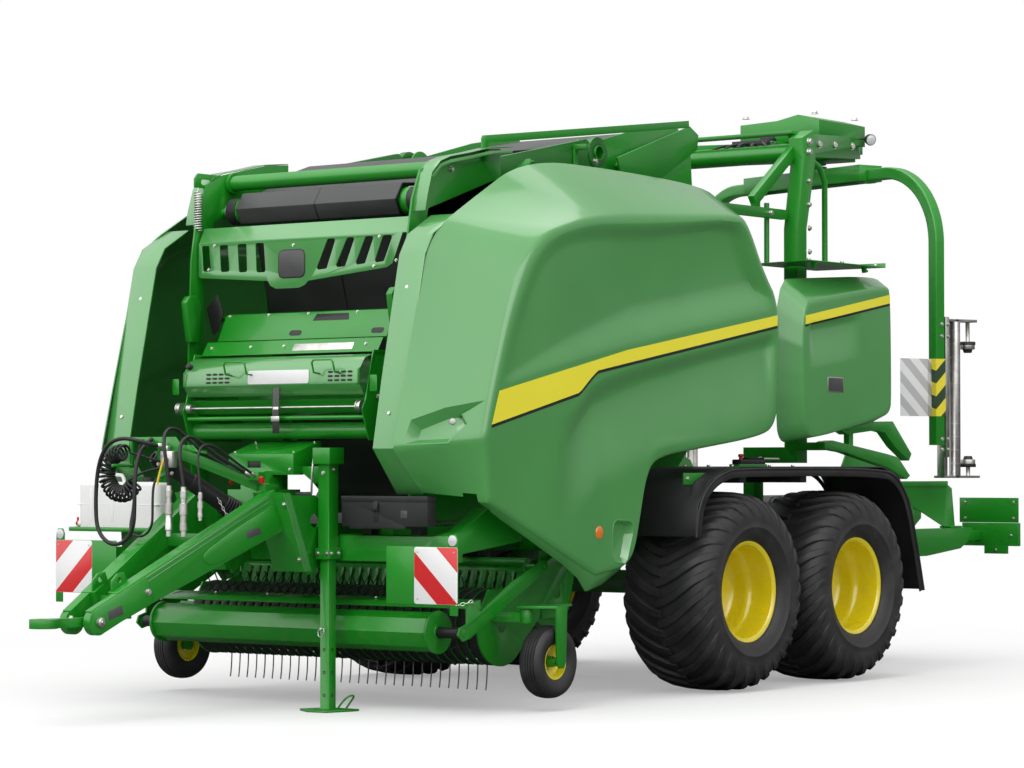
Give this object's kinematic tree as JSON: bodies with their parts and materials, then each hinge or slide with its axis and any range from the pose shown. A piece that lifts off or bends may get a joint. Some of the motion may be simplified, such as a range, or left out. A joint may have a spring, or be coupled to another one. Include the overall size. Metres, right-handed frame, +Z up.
{
  "type": "round baler",
  "caption": "Towed round baler with pickup, bale chamber and lifting gate on a tandem axle, with a turning wrap arm pair over a tilting bale table at its rear.",
  "frame": {"origin": "on the floor under the middle of the machine's length and width", "axes": "+X forward to the hitch, +Y to the machine's left, +Z up"},
  "size_m": [8.2, 2.971, 3.745],
  "materials": {
    "green_frame": "satin",
    "green_panel": "gloss",
    "dark_steel": "satin",
    "belts": "matte",
    "black_rubber": "matte",
    "black_plastic": "matte",
    "white_plastic": "satin",
    "bare_metal": "brushed",
    "tyre": "matte",
    "yellow_rim": "gloss"
  },
  "bodies": {
    "machine": {"main_frame": "green_frame", "drawbar_brackets": "green_frame", "drawbar": "green_frame", "hitch_eye": "green_frame", "gearbox": "green_frame", "pto_shaft": "black_plastic", "jack_tube": "green_frame", "toolbox": "black_plastic", "water_tank": "white_plastic", "warning_boards": "green_frame", "chamber_walls": "green_frame", "front_frames": "green_frame", "front_belts": "belts", "grille_panel": "green_panel", "net_box": "green_frame", "trays": "green_frame", "fenders": "black_plastic", "feeder_frame": "green_frame", "mast": "green_frame", "boom": "green_frame", "transfer_deck": "green_frame", "rear_frame": "green_frame", "film_cutters": "green_frame", "axle_frame": "green_frame", "hose_pressure": "black_rubber", "hose_return": "black_rubber", "hose_brake": "black_rubber", "hose_loop": "black_rubber", "cable_loop": "black_rubber", "cable_coil": "black_rubber", "couplings": "bare_metal"},
    "wheel_front_left": {"tyre_front_left": "tyre", "rim_front_left": "yellow_rim"},
    "wheel_front_right": {"tyre_front_right": "tyre", "rim_front_right": "yellow_rim"},
    "wheel_rear_left": {"tyre_rear_left": "tyre", "rim_rear_left": "yellow_rim"},
    "wheel_rear_right": {"tyre_rear_right": "tyre", "rim_rear_right": "yellow_rim"},
    "jack_leg": {"jack_leg": "green_frame"},
    "pickup": {"pickup_frame": "green_frame"},
    "reel": {"pickup_reel": "dark_steel"},
    "crop_press": {"crop_press": "green_frame"},
    "crop_roller": {"crop_roller": "green_frame"},
    "feed_rotor": {"feed_rotor": "dark_steel"},
    "gauge_fork_left": {"gauge_fork_left": "green_frame"},
    "gauge_wheel_left": {"gauge_wheel_left": "tyre"},
    "gauge_fork_right": {"gauge_fork_right": "green_frame"},
    "gauge_wheel_right": {"gauge_wheel_right": "tyre"},
    "gate": {"gate_frame": "green_frame", "gate_belts": "belts"},
    "net_lid": {"net_lid": "green_frame"},
    "side_shield_left": {"side_shield_left": "green_panel"},
    "side_shield_right": {"side_shield_right": "green_panel"},
    "rear_panel_left": {"rear_panel_left": "green_panel"},
    "rear_panel_right": {"rear_panel_right": "green_panel"},
    "wrap_rotor": {"wrap_arms": "green_frame", "film_dispensers": "bare_metal"},
    "wrap_table": {"wrap_table": "green_frame", "table_rollers": "belts"}
  },
  "joints": [
    {"name": "wheel_front_left_spin", "type": "hinge", "parent": "machine", "child": "wheel_front_left", "pos_m": [-0.35, 1.18, 0.595], "axis": [0, 1, 0], "continuous": true},
    {"name": "wheel_front_right_spin", "type": "hinge", "parent": "machine", "child": "wheel_front_right", "pos_m": [-0.35, -1.18, 0.595], "axis": [0, 1, 0], "continuous": true},
    {"name": "wheel_rear_left_spin", "type": "hinge", "parent": "machine", "child": "wheel_rear_left", "pos_m": [-1.57, 1.18, 0.595], "axis": [0, 1, 0], "continuous": true},
    {"name": "wheel_rear_right_spin", "type": "hinge", "parent": "machine", "child": "wheel_rear_right", "pos_m": [-1.57, -1.18, 0.595], "axis": [0, 1, 0], "continuous": true},
    {"name": "jack_slide", "type": "slide", "parent": "machine", "child": "jack_leg", "axis": [0, 0, 1], "range_m": [0, 0.36]},
    {"name": "pickup_lift", "type": "hinge", "parent": "machine", "child": "pickup", "pos_m": [1, 0, 0.8], "axis": [0, -1, 0], "range_deg": [-7, 4]},
    {"name": "reel_spin", "type": "hinge", "parent": "pickup", "child": "reel", "pos_m": [1.58, 0, 0.45], "axis": [0, 1, 0], "continuous": true},
    {"name": "crop_press_lift", "type": "hinge", "parent": "pickup", "child": "crop_press", "pos_m": [1.35, 0, 0.78], "axis": [0, -1, 0], "range_deg": [0, 8]},
    {"name": "crop_roller_spin", "type": "hinge", "parent": "crop_press", "child": "crop_roller", "pos_m": [2.075, 0, 0.44], "axis": [0, 1, 0], "continuous": true},
    {"name": "feed_rotor_spin", "type": "hinge", "parent": "machine", "child": "feed_rotor", "pos_m": [1.02, 0, 0.62], "axis": [0, 1, 0], "continuous": true},
    {"name": "gauge_swivel_left", "type": "hinge", "parent": "pickup", "child": "gauge_fork_left", "pos_m": [1.64, 1.29, 0.5], "axis": [0, 0, 1], "range_deg": [-25, 25]},
    {"name": "gauge_wheel_spin_left", "type": "hinge", "parent": "gauge_fork_left", "child": "gauge_wheel_left", "pos_m": [1.55, 1.37, 0.27], "axis": [0, 1, 0], "continuous": true},
    {"name": "gauge_swivel_right", "type": "hinge", "parent": "pickup", "child": "gauge_fork_right", "pos_m": [1.64, -1.29, 0.5], "axis": [0, 0, 1], "range_deg": [-25, 25]},
    {"name": "gauge_wheel_spin_right", "type": "hinge", "parent": "gauge_fork_right", "child": "gauge_wheel_right", "pos_m": [1.55, -1.37, 0.27], "axis": [0, 1, 0], "continuous": true},
    {"name": "gate_open", "type": "hinge", "parent": "machine", "child": "gate", "pos_m": [0.22, 0, 3.2], "axis": [0, 1, 0], "range_deg": [0, 42]},
    {"name": "net_lid_open", "type": "hinge", "parent": "machine", "child": "net_lid", "pos_m": [2.188, 0, 1.944], "axis": [0, -1, 0], "range_deg": [0, 80]},
    {"name": "side_shield_left_open", "type": "hinge", "parent": "machine", "child": "side_shield_left", "pos_m": [0, 1.05, 3.05], "axis": [1, 0, 0], "range_deg": [0, 65]},
    {"name": "side_shield_right_open", "type": "hinge", "parent": "machine", "child": "side_shield_right", "pos_m": [0, -1.05, 3.05], "axis": [-1, 0, 0], "range_deg": [0, 65]},
    {"name": "rear_panel_left_open", "type": "hinge", "parent": "machine", "child": "rear_panel_left", "pos_m": [-1.5, 1.36, 2.575], "axis": [1, 0, 0], "range_deg": [0, 60]},
    {"name": "rear_panel_right_open", "type": "hinge", "parent": "machine", "child": "rear_panel_right", "pos_m": [-1.5, -1.36, 2.575], "axis": [-1, 0, 0], "range_deg": [0, 60]},
    {"name": "wrap_rotor_spin", "type": "hinge", "parent": "machine", "child": "wrap_rotor", "pos_m": [-3.34, 0, 3.4], "axis": [0, 0, 1], "continuous": true},
    {"name": "wrap_table_tilt", "type": "hinge", "parent": "machine", "child": "wrap_table", "pos_m": [-3.56, 0, 0.88], "axis": [0, -1, 0], "range_deg": [0, 30]}
  ]
}
